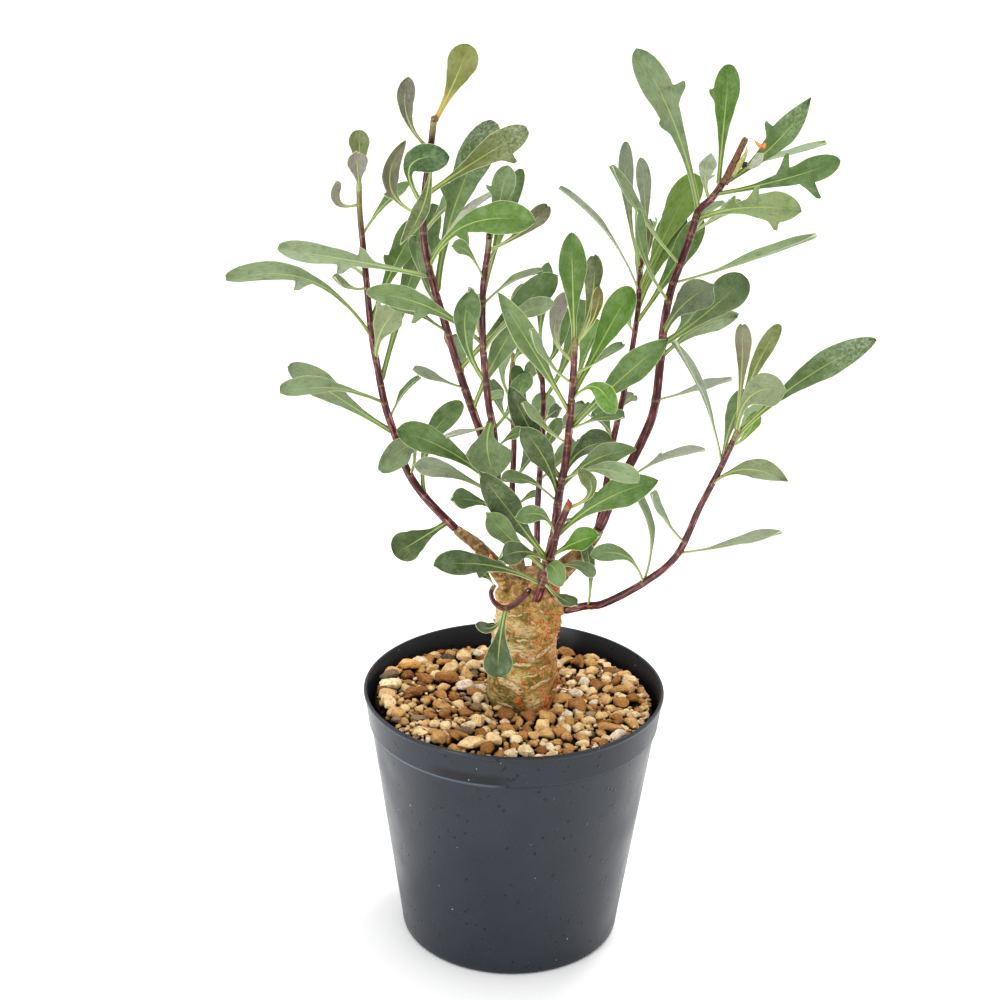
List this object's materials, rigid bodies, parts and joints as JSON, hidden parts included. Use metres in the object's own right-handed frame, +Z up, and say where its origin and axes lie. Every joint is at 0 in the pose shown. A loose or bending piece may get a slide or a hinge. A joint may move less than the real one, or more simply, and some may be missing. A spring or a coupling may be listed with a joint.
{
  "type": "potted othonna lobata",
  "caption": "Caudex succulent shrub with a swollen woody trunk, reddish upright stems and lobed spoon-shaped leaves, standing in pebble gravel in a plain round nursery pot.",
  "frame": {"origin": "middle of the pot's flat foot, on the surface that it stands on", "axes": "+Z up along the pot's axis; the plant's front, as pictured, faces -Y, with +X to its right"},
  "size_m": [0.2359, 0.1459, 0.3626],
  "materials": {
    "pot": "dark blue-grey moulded polypropylene, satin",
    "gravel": "tan and ochre pumice pebbles, dull",
    "bark": "olive-tan bark with pale ring scars",
    "leafy_stem": "fleshy green leaves on maroon stems, soft sheen"
  },
  "bodies": {
    "root": {"pot": "pot", "gravel": "gravel", "caudex": "bark", "shoot_a": "leafy_stem", "shoot_b": "leafy_stem", "shoot_c": "leafy_stem", "shoot_d": "leafy_stem", "shoot_e": "leafy_stem", "shoot_f": "leafy_stem", "shoot_g": "leafy_stem", "shoot_h": "leafy_stem", "shoot_i": "leafy_stem", "shoot_j": "leafy_stem", "shoot_k": "leafy_stem"}
  },
  "joints": []
}
